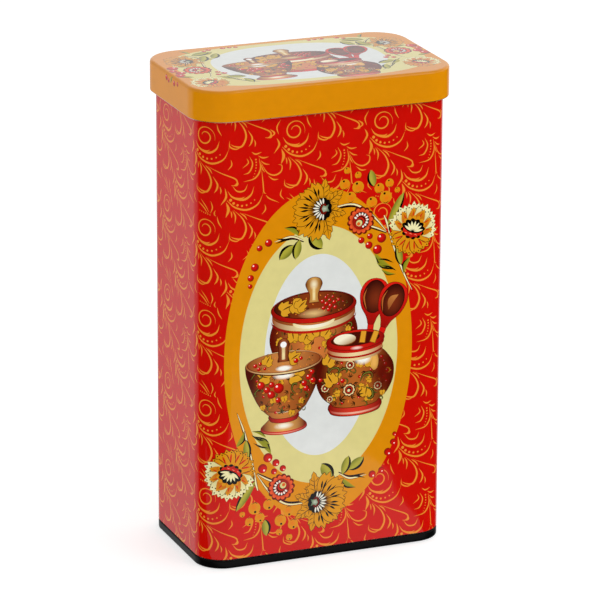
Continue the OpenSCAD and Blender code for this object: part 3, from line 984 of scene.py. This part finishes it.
def frame_box(x0, x1, y0, y1):
    return np.array([(x0, y0), (x1, y0), (x1, y1), (x0, y1)], float)


def rounded_box(x, y, r):
    """A rectangle with round corners, from its half width and half depth."""
    corners = ((1, -1, -90), (1, 1, 0), (-1, 1, 90), (-1, -1, 180))
    return np.vstack([ring(r, x=sx * (x - r), y=sy * (y - r), start=a, end=a + 90) for sx, sy, a in corners])


def corner_lines(width, depth, corner, x0, x1, y0, y1, steps=20):
    """Upright lines at which a sheet bends round the corners, between two places round the wall."""
    arc, front, side = math.pi * corner / 2, width / 2 - corner, depth - 2 * corner
    whole = 2 * (2 * front + side + 2 * arc)
    starts = [front, front + arc + side, 3 * front + 2 * arc + side, 3 * front + 3 * arc + 2 * side]
    bends = [s + turn * whole + arc * k / steps for s in starts for turn in (-1, 0) for k in range(steps + 1)]
    return [((x, y0), (x, y1)) for x in bends if x0 < x < x1]


# ---- Geometry Nodes: a flat sheet wrapped round a wall ----

MATH = "ShaderNodeMath"
VECTOR = "ShaderNodeVectorMath"
RANGE = "ShaderNodeMapRange"  # inputs: the value, from low, from high, to low, to high
NOISE = "ShaderNodeTexNoise"
WRAP = "Wrap Round Wall"


def feed(tree, node, inputs):
    """Fills a node's inputs, each with a value, a socket to link from, or a node for its first output."""
    pairs = inputs.items() if isinstance(inputs, dict) else enumerate(inputs)
    for key, value in pairs:
        source = value.outputs[0] if isinstance(value, bpy.types.Node) else value
        if isinstance(source, bpy.types.NodeSocket):
            tree.links.new(source, node.inputs[key])
        else:
            node.inputs[key].default_value = source


def add(tree, kind, inputs=(), **settings):
    """Adds a node with its settings, values and links."""
    made = tree.nodes.new(kind)
    for key, value in settings.items():
        setattr(made, key, value)
    feed(tree, made, inputs)
    return made


def wrap_tree():
    """A flat sheet bent round a rounded rectangle, and over its upper edge.

    The sheet's x is the distance round the wall from the front's middle, its y is the height, and its
    z is the layer."""
    tree = bpy.data.node_groups.new(WRAP, "GeometryNodeTree")
    tree.interface.new_socket("Geometry", in_out="INPUT", socket_type="NodeSocketGeometry")
    sizes = ("Width", "Depth", "Corner Radius", "Front Middle", "Stand-off", "Edge Height", "Edge Radius")
    for name in sizes:
        tree.interface.new_socket(name, in_out="INPUT", socket_type="NodeSocketFloat").subtype = "DISTANCE"
    tree.interface.new_socket("Material", in_out="INPUT", socket_type="NodeSocketMaterial")
    tree.interface.new_socket("Geometry", in_out="OUTPUT", socket_type="NodeSocketGeometry")
    given = add(tree, "NodeGroupInput").outputs
    edge, edge_height = given["Edge Radius"], given["Edge Height"]

    # The wall's outline, and the place and direction on it for each point of the sheet.
    plan = {"Width": given["Width"], "Height": given["Depth"]}
    corners = add(tree, "GeometryNodeCurvePrimitiveQuadrilateral", plan)
    rounding = {"Curve": corners, "Count": 80, "Radius": given["Corner Radius"]}
    outline = add(tree, "GeometryNodeFilletCurve", rounding, mode="POLY")
    sheet = add(tree, "ShaderNodeSeparateXYZ", [add(tree, "GeometryNodeInputPosition")]).outputs
    whole = add(tree, "GeometryNodeCurveLength", [outline])
    onward = add(tree, MATH, (sheet["X"], given["Front Middle"]), operation="ADD")
    along = add(tree, MATH, (onward, whole), operation="FLOORED_MODULO")
    sampled = {"Curves": outline, "Length": along}
    wall = add(tree, "GeometryNodeSampleCurve", sampled, mode="LENGTH", use_all_curves=True).outputs
    across = add(tree, VECTOR, (wall["Tangent"], (0.0, 0.0, 1.0)), operation="CROSS_PRODUCT")
    outward = add(tree, VECTOR, [across], operation="NORMALIZE")

    # How far the sheet has turned over the edge, and how far it has run in beyond the turn.
    above = add(tree, MATH, (sheet["Y"], edge_height), operation="SUBTRACT")
    past = add(tree, MATH, (above, 0.0), operation="MAXIMUM")
    swept = add(tree, MATH, (past, edge), operation="DIVIDE")
    bend = add(tree, MATH, (swept, math.pi / 2), operation="MINIMUM")
    bent_part = add(tree, MATH, (bend, edge), operation="MULTIPLY")
    beyond = add(tree, MATH, (past, bent_part), operation="SUBTRACT")
    cosine = add(tree, MATH, [bend], operation="COSINE")
    sine = add(tree, MATH, [bend], operation="SINE")
    versine = add(tree, MATH, (1.0, cosine), operation="SUBTRACT")
    setback = add(tree, MATH, (edge, versine), operation="MULTIPLY")
    inward = add(tree, MATH, (beyond, setback), operation="ADD")

    # The point's place: on the outline, moved out or in, and up.
    off = add(tree, MATH, (given["Stand-off"], sheet["Z"]), operation="ADD")
    off_out = add(tree, MATH, (off, cosine), operation="MULTIPLY")
    off_up = add(tree, MATH, (off, sine), operation="MULTIPLY")
    reach = add(tree, MATH, (off_out, inward), operation="SUBTRACT")
    out = add(tree, VECTOR, {0: outward, "Scale": reach}, operation="SCALE")
    straight = add(tree, MATH, (sheet["Y"], edge_height), operation="MINIMUM")
    curved = add(tree, MATH, (edge, sine), operation="MULTIPLY")
    rise = add(tree, MATH, (straight, curved), operation="ADD")
    height = add(tree, MATH, (rise, off_up), operation="ADD")
    up = add(tree, "ShaderNodeCombineXYZ", {"Z": height})
    moved_out = add(tree, VECTOR, (wall["Position"], out), operation="ADD")
    place = add(tree, VECTOR, (moved_out, up), operation="ADD")

    moved = add(tree, "GeometryNodeSetPosition", {"Geometry": given["Geometry"], "Position": place})
    real = add(tree, "GeometryNodeRealizeInstances", {"Geometry": moved})
    finished = add(tree, "GeometryNodeSetMaterial", {"Geometry": real, "Material": given["Material"]})
    add(tree, "NodeGroupOutput", {"Geometry": finished})
    return tree


def wrap(sheet, material, width, depth, corner, edge_height=FAR, edge=1.0):
    """Bends a flat sheet round a wall: the modifier's result becomes the sheet's own plain mesh."""
    tree = bpy.data.node_groups.get(WRAP) or wrap_tree()
    modifier = sheet.modifiers.new("Wrap", "NODES")
    modifier.node_group = tree
    # The outline starts at the back right corner, and runs along the back and the left side to the front.
    values = {
        "Width": width, "Depth": depth, "Corner Radius": corner,
        "Front Middle": 1.5 * width + depth + (1.5 * math.pi - 5) * corner,
        "Stand-off": bpy.context.scene.tin_sizes.film,
        "Edge Height": edge_height, "Edge Radius": edge, "Material": material,
    }
    for socket in tree.interface.items_tree:
        if socket.name in values:
            modifier[socket.identifier] = values[socket.name]
    graph = bpy.context.evaluated_depsgraph_get()
    bent = bpy.data.meshes.new_from_object(
        sheet.evaluated_get(graph), preserve_all_data_layers=True, depsgraph=graph
    )
    sheet.modifiers.remove(modifier)
    flat, sheet.data = sheet.data, bent
    bpy.data.meshes.remove(flat)


def smooth_wall(mesh, painted_faces, width, depth, corner, edge, top):
    """Gives the painted faces the exact normals of a rounded wall, and leaves the rest their own."""
    points = np.empty(len(mesh.vertices) * 3)
    mesh.vertices.foreach_get("co", points)
    points = points.reshape(-1, 3)
    core = np.array([width / 2 - corner, depth / 2 - corner])
    out = points[:, :2] - np.clip(points[:, :2], -core, core)
    reach = np.maximum(np.hypot(out[:, 0], out[:, 1]), 1e-9)
    over = np.maximum(points[:, 2] - (top - edge), 0.0)
    level = np.where(over > 0, np.maximum(reach - (corner - edge), 0.0), 1.0)
    exact = np.column_stack([out / reach[:, None] * level[:, None], over])
    exact /= np.maximum(np.linalg.norm(exact, axis=1), 1e-9)[:, None]
    directions = exact[loop_vertices(mesh)]
    for polygon in mesh.polygons[painted_faces:]:
        directions[list(polygon.loop_indices)] = polygon.normal
    mesh.normals_split_custom_set(directions.tolist())


# ---- Finishes ----


def material(name, build):
    """A new material whose node tree is filled by build(tree, shader, place)."""
    made = bpy.data.materials.new(name)
    made.use_nodes = True
    place = add(made.node_tree, "ShaderNodeTexCoord").outputs["Object"]
    build(made.node_tree, made.node_tree.nodes["Principled BSDF"], place)
    return made


def opaque(code):
    """A hex colour as a colour input's four numbers."""
    return (*linear(code), 1.0)


def litho_print(tree, shader, place):
    """Lithographed tinplate: rolled inks under a hard stoved gloss varnish with faint orange peel."""
    picture = add(tree, "ShaderNodeVertexColor", layer_name="Ink")
    density = add(tree, NOISE, {"Vector": place, "Scale": 260.0, "Detail": 3.0})  # ink grain, about 4 mm
    patch = add(tree, NOISE, {"Vector": place, "Scale": 22.0, "Detail": 2.0})  # uneven rolling, about 45 mm
    both = add(tree, MATH, (density, patch), operation="ADD")
    strength = add(tree, RANGE, (both, 0.7, 1.3, 0.955, 1.03))
    laid = add(tree, VECTOR, {0: picture, "Scale": strength}, operation="SCALE")
    gloss = add(tree, RANGE, (patch, 0.3, 0.7, 0.07, 0.11))
    peel = add(tree, NOISE, {"Vector": place, "Scale": 420.0, "Detail": 1.0})  # about 2.4 mm
    relief = add(tree, "ShaderNodeBump", {"Strength": 0.05, "Distance": 0.02 * MM, "Height": peel})
    feed(tree, shader, {"Base Color": laid, "Roughness": gloss, "Normal": relief, "IOR": 1.34})


def bare_tinplate(tree, shader, place):
    """Bright tinplate: cold-rolled steel under flowed tin, so fine lines run along the roll."""
    rolled = add(tree, "ShaderNodeMapping", {"Vector": place, "Scale": (1.0, 1.0, 60.0)})
    lines = add(tree, NOISE, {"Vector": rolled, "Scale": 90.0, "Detail": 4.0})  # 0.2 mm apart
    crystals = add(tree, "ShaderNodeTexVoronoi", {"Vector": place, "Scale": 500.0}).outputs["Color"]  # 2 mm
    patch = add(tree, NOISE, {"Vector": place, "Scale": 30.0, "Detail": 2.0})
    ends = {"Factor": patch, 6: opaque("#cfcec9"), 7: opaque("#e0dfda")}
    tone = add(tree, "ShaderNodeMix", ends, data_type="RGBA").outputs[2]
    grain = add(tree, MATH, (lines, crystals), operation="ADD")
    rough = add(tree, RANGE, (grain, 0.2, 1.8, 0.24, 0.32))
    relief = add(tree, "ShaderNodeBump", {"Strength": 0.12, "Distance": 0.01 * MM, "Height": lines})
    feed(tree, shader, {"Base Color": tone, "Roughness": rough, "Normal": relief, "Metallic": 1.0})


def black_lacquer(tree, shader, place):
    """Stoved black lacquer rolled on tinplate: nearly level, with a soft gloss."""
    patch = add(tree, NOISE, {"Vector": place, "Scale": 60.0, "Detail": 3.0})
    ends = {"Factor": patch, 6: opaque("#050505"), 7: opaque("#0b0b0c")}
    tone = add(tree, "ShaderNodeMix", ends, data_type="RGBA").outputs[2]
    rough = add(tree, RANGE, (patch, 0.3, 0.7, 0.24, 0.34))
    peel = add(tree, NOISE, {"Vector": place, "Scale": 500.0, "Detail": 2.0})  # 2 mm
    relief = add(tree, "ShaderNodeBump", {"Strength": 0.08, "Distance": 0.02 * MM, "Height": peel})
    feed(tree, shader, {"Base Color": tone, "Roughness": rough, "Normal": relief})
    feed(tree, shader, {"IOR": 1.4, "Specular IOR Level": 0.1})


def sealing_compound(tree, shader, place):
    """Water-based rubber compound, flowed into the seam and dried: grey-green, matt and a little lumpy."""
    lumps = add(tree, NOISE, {"Vector": place, "Scale": 700.0, "Detail": 3.0})  # 1.4 mm
    ends = {"Factor": lumps, 6: opaque("#7d8578"), 7: opaque("#9aa192")}
    tone = add(tree, "ShaderNodeMix", ends, data_type="RGBA").outputs[2]
    rough = add(tree, RANGE, (lumps, 0.0, 1.0, 0.6, 0.85))
    relief = add(tree, "ShaderNodeBump", {"Strength": 0.4, "Distance": 0.05 * MM, "Height": lumps})
    feed(tree, shader, {"Base Color": tone, "Roughness": rough, "Normal": relief})


def pale_floor(tree, shader, place):
    """Matt white studio paper, with the faint cloudiness of its pulp."""
    pulp = add(tree, NOISE, {"Vector": place, "Scale": 6.0, "Detail": 4.0})
    ends = {"Factor": pulp, 6: opaque("#c9c9c8"), 7: opaque("#cfcfce")}
    tone = add(tree, "ShaderNodeMix", ends, data_type="RGBA").outputs[2]
    feed(tree, shader, {"Base Color": tone, "Roughness": 0.9})
    feed(tree, shader, {"Emission Color": (1.0, 1.0, 1.0, 1.0), "Emission Strength": 0.6})


def glowing_bounce_card(tree, shader, place):
    """White card lying in front that glows, and only shows as a soft sheen in the varnish: its glow is
    painted light, standing in for the light a foam board would bounce.

    The glow is brightest close to the tin, and fades to the left and forwards."""
    cloud = add(tree, NOISE, {"Vector": place, "Scale": 5.0, "Detail": 2.0})
    ends = {"Factor": cloud, 6: opaque("#f2f2f2"), 7: opaque("#ffffff")}
    tone = add(tree, "ShaderNodeMix", ends, data_type="RGBA").outputs[2]
    towards_tin = add(tree, VECTOR, (place, (0.667, 0.745, 0.0)), operation="DOT_PRODUCT").outputs["Value"]
    # painted falloff: the card's glow is strongest close to the tin
    light = add(tree, RANGE, (towards_tin, -0.16, -0.06, 0.4, 1.0))
    feed(tree, shader, {"Base Color": opaque("#101010"), "Emission Color": tone, "Emission Strength": light})


def soft_room(tree):
    """A plain studio's light: bright behind and to the right, dimmer in front, and dark below."""
    direction = add(tree, "ShaderNodeTexCoord").outputs["Generated"]
    towards = add(tree, "ShaderNodeSeparateXYZ", [direction]).outputs
    soft = {"interpolation_type": "SMOOTHSTEP"}
    depth = add(tree, RANGE, (towards["Y"], -0.6, 0.5, 0.72, 1.15), **soft)
    side = add(tree, RANGE, (towards["X"], -0.9, 0.6, 0.56, 1.02), **soft)
    sky = add(tree, MATH, (depth, side), operation="MULTIPLY")
    under = add(tree, RANGE, (towards["Y"], 0.42, 0.62, 0.0, 0.67), **soft)
    above = add(tree, RANGE, (towards["Z"], -0.02, 0.02))
    both = add(tree, "ShaderNodeMix", {"Factor": above, 2: under, 3: sky}, data_type="FLOAT")
    feed(tree, tree.nodes["Background"], {"Color": both})


# ---- Operators: one for each piece or group, and one for the stage ----


class TIN_OT_metal(bpy.types.Operator):
    """Finish the metal: bare tinplate body and lid, black base, rubber seam compound"""

    bl_idname = "tin.metal"
    bl_label = "Finish Metal"

    def execute(self, context):
        tinplate = material("Bare Tinplate", bare_tinplate)
        finishes = {
            "body_wrap": tinplate,
            "lid": tinplate,
            "base_end": material("Black Stoving Lacquer", black_lacquer),
            "seam_compound": material("Sealing Compound", sealing_compound),
        }
        for node, finish in finishes.items():
            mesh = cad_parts[node].data
            mesh.materials.clear()
            mesh.materials.append(finish)
        return {"FINISHED"}


class TIN_OT_body_print(bpy.types.Operator):
    """Print the four faces of the body"""

    bl_idname = "tin.body_print"
    bl_label = "Print Body"

    def execute(self, context):
        sizes = context.scene.tin_sizes
        width, depth, corner = sizes.body_width, sizes.body_depth, sizes.body_corner
        half = (width / 2 - corner + math.pi * corner / 4) / MM
        side = (depth - 2 * corner + math.pi * corner / 2) / MM
        low, high = sizes.print_foot / MM, sizes.print_head / MM
        faces = {
            "print_front": [(-half, half)],
            "print_right": [(half, sizes.seam_left / MM), (sizes.seam_right / MM, half + side)],
            "print_back": [(-3 * half - side, -half - side)],
            "print_left": [(-half - side, -half)],
        }
        varnish = material("Varnished Lithograph", litho_print)
        picture, half_round = medallion(), 2 * half + side
        for name, spans in faces.items():
            x0, x1 = spans[0][0], spans[-1][1]
            shapes = scroll_ground(PICTURE[0], x0, x1)
            for middle in (PICTURE[0] - half_round, PICTURE[0], PICTURE[0] + half_round):
                shapes = uncovered(shapes, middle) + placed(picture, middle, PICTURE[1])
            lines = corner_lines(width / MM, depth / MM, corner / MM, x0, x1, low, high)
            frames = [frame_box(a, b, low, high) for a, b in spans]
            sheet, count = ink_sheet(name, frames, lines, shapes, "red")
            wrap(sheet, varnish, width, depth, corner)
            smooth_wall(sheet.data, count, width, depth, corner, 0.0, FAR)
            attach(sheet, "tin")
        return {"FINISHED"}


class TIN_OT_lid_print(bpy.types.Operator):
    """Print the lid's top and skirt"""

    bl_idname = "tin.lid_print"
    bl_label = "Print Lid"

    def execute(self, context):
        sizes = context.scene.tin_sizes
        width, depth = lid_high.x - lid_low.x, lid_high.y - lid_low.y
        corner, edge, top = sizes.lid_corner, sizes.lid_edge, lid_high.z
        edge_steps = 6
        overlap = 0.5  # how far the skirt's film runs in under the top's
        over_skirt = 1.3  # the top film's height above the metal, in films
        varnish = bpy.data.materials["Varnished Lithograph"]
        half = (width + depth - 4 * corner + math.pi * corner) / MM
        foot, bend = (lid_low.z + sizes.hem) / MM, (top - edge) / MM
        turn = math.pi / 2 * edge / MM
        rim = bend + turn + overlap
        lines = corner_lines(width / MM, depth / MM, corner / MM, -half, half, foot, rim)
        for k in range(edge_steps + 1):
            height = bend + turn * k / edge_steps
            lines.append(((-half, height), (half, height)))
        left = -(width / 2 + depth / 2 - 2 * corner + math.pi * corner / 2) / MM
        drawn = placed(spilled_berries(), left, bend - 1.0)
        frames = [frame_box(-half, half, foot, rim)]
        skirt, count = ink_sheet("print_lid_skirt", frames, lines, drawn, "orange")
        wrap(skirt, varnish, width, depth, corner, top - edge, edge)
        smooth_wall(skirt.data, count, width, depth, corner, edge, top)

        x, y, r = width / 2 / MM - edge / MM, depth / 2 / MM - edge / MM, (corner - edge) / MM
        height = top + over_skirt * sizes.film
        face, _ = ink_sheet("print_lid_top", [rounded_box(x, y, r)], [], lid_picture(), "orange", height)
        face.data.materials.append(varnish)
        for polygon in face.data.polygons:
            polygon.use_smooth = False
        for piece in (skirt, face):
            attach(piece, "lid")
        return {"FINISHED"}


CARD_OUTLINE = (  # metres from the tin's middle: its bent right edge follows the sheen's edge on the varnish
    (-0.2, -0.034), (0.046, -0.262), (0.05, -0.195), (0.061, -0.14), (0.063, -0.115), (0.054, -0.086),
    (0.05, -0.034),
)
FLOOR_DROP = 0.2 * MM  # the floor lies just under the tin, so that the two never share a plane
KEY_PLACE = (1.6, -1.9, 2.1)
KEY_SIZE = 1.6
SENSOR = 36.0
AIM = (0.000714, -0.000454)  # how far right of and above the tin's middle the camera is aimed


class TIN_OT_stage(bpy.types.Operator):
    """Set the pale floor, the soft lights and the camera"""

    bl_idname = "tin.stage"
    bl_label = "Set Stage"

    def execute(self, context):
        scene, studio = context.scene, context.scene.studio
        half = studio.floor / 2
        paper = material("Studio Paper", pale_floor)
        floor = self.add_plane("Floor", frame_box(-half, half, -half, half), -FLOOR_DROP, paper)
        floor.visible_glossy = False
        # The card glows though it is no lamp: painted light that shows only as a sheen in the varnish.
        card = self.add_plane("Bounce Card", CARD_OUTLINE, 0.0, material("Bounce Card", glowing_bounce_card))
        card.visible_camera = card.visible_diffuse = card.visible_shadow = card.visible_transmission = False
        self.add_key(scene, studio)
        scene.world = bpy.data.worlds.new("Studio")
        scene.world.use_nodes = True
        soft_room(scene.world.node_tree)
        scene.view_settings.view_transform = "Standard"
        self.add_camera(scene, studio)
        return {"FINISHED"}

    def add_plane(self, name, outline, height, made):
        """A flat piece of the stage."""
        mesh = bpy.data.meshes.new(name)
        mesh.from_pydata([(x, y, height) for x, y in outline], [], [tuple(range(len(outline)))])
        mesh.materials.append(made)
        plane = bpy.data.objects.new(name, mesh)
        bpy.context.scene.collection.objects.link(plane)
        return plane

    def add_key(self, scene, studio):
        """One big soft light, high on the right in front."""
        light = bpy.data.lights.new("Key", "AREA")
        light.shape, light.size, light.energy = "DISK", KEY_SIZE, studio.key
        key = bpy.data.objects.new("Key", light)
        place = Vector(KEY_PLACE)
        key.matrix_world = Matrix.Translation(place) @ place.to_track_quat("Z", "Y").to_matrix().to_4x4()
        scene.collection.objects.link(key)

    def add_camera(self, scene, studio):
        """A long lens, level but for its roll, aimed a touch off the tin's middle."""
        yaw, pitch, roll = studio.yaw, studio.pitch, studio.roll
        ahead = Vector((math.sin(yaw) * math.cos(pitch), math.cos(yaw) * math.cos(pitch), -math.sin(pitch)))
        right = Vector((math.cos(yaw), -math.sin(yaw), 0.0))
        up = right.cross(ahead)
        middle = Vector((0.0, 0.0, lid_high.z / 2))
        place = middle - studio.distance * ahead + AIM[0] * right + AIM[1] * up
        side = right * math.cos(roll) + up * math.sin(roll)
        over = up * math.cos(roll) - right * math.sin(roll)
        data = bpy.data.cameras.new("Camera")
        data.lens, data.sensor_width, data.dof.use_dof = studio.lens, SENSOR, False
        camera = bpy.data.objects.new("Camera", data)
        turn = Matrix((side, over, -ahead)).transposed().to_4x4()
        camera.matrix_world = Matrix.Translation(place) @ turn
        scene.collection.objects.link(camera)
        scene.camera = camera


class TIN_PT_panel(bpy.types.Panel):
    """The tin's settings and its steps, in order"""

    bl_idname = "TIN_PT_panel"
    bl_label = "Lithographed Tin"
    bl_space_type = "VIEW_3D"
    bl_region_type = "UI"
    bl_category = "Tin"

    def draw(self, context):
        scene = context.scene
        groups = {"Sizes": scene.tin_sizes, "Inks": scene.print_inks, "Studio": scene.studio}
        for heading, group in groups.items():
            box = self.layout.box()
            box.label(text=heading)
            for name in group.__annotations__:
                box.prop(group, name)
        for step in STEPS:
            self.layout.operator(step.bl_idname)


GROUPS = {"tin_sizes": TinSizes, "print_inks": PrintInks, "studio": StudioSettings}
STEPS = (TIN_OT_metal, TIN_OT_body_print, TIN_OT_lid_print, TIN_OT_stage)


def register():
    for cls in (*GROUPS.values(), *STEPS, TIN_PT_panel):
        bpy.utils.register_class(cls)
    for name, group in GROUPS.items():
        setattr(bpy.types.Scene, name, PointerProperty(type=group))


def unregister():
    for name in GROUPS:
        delattr(bpy.types.Scene, name)
    for cls in reversed((*GROUPS.values(), *STEPS, TIN_PT_panel)):
        bpy.utils.unregister_class(cls)


def main():
    register()
    bpy.ops.tin.metal()
    bpy.ops.tin.body_print()
    bpy.ops.tin.lid_print()
    bpy.ops.tin.stage()


if __name__ == "__main__":
    main()
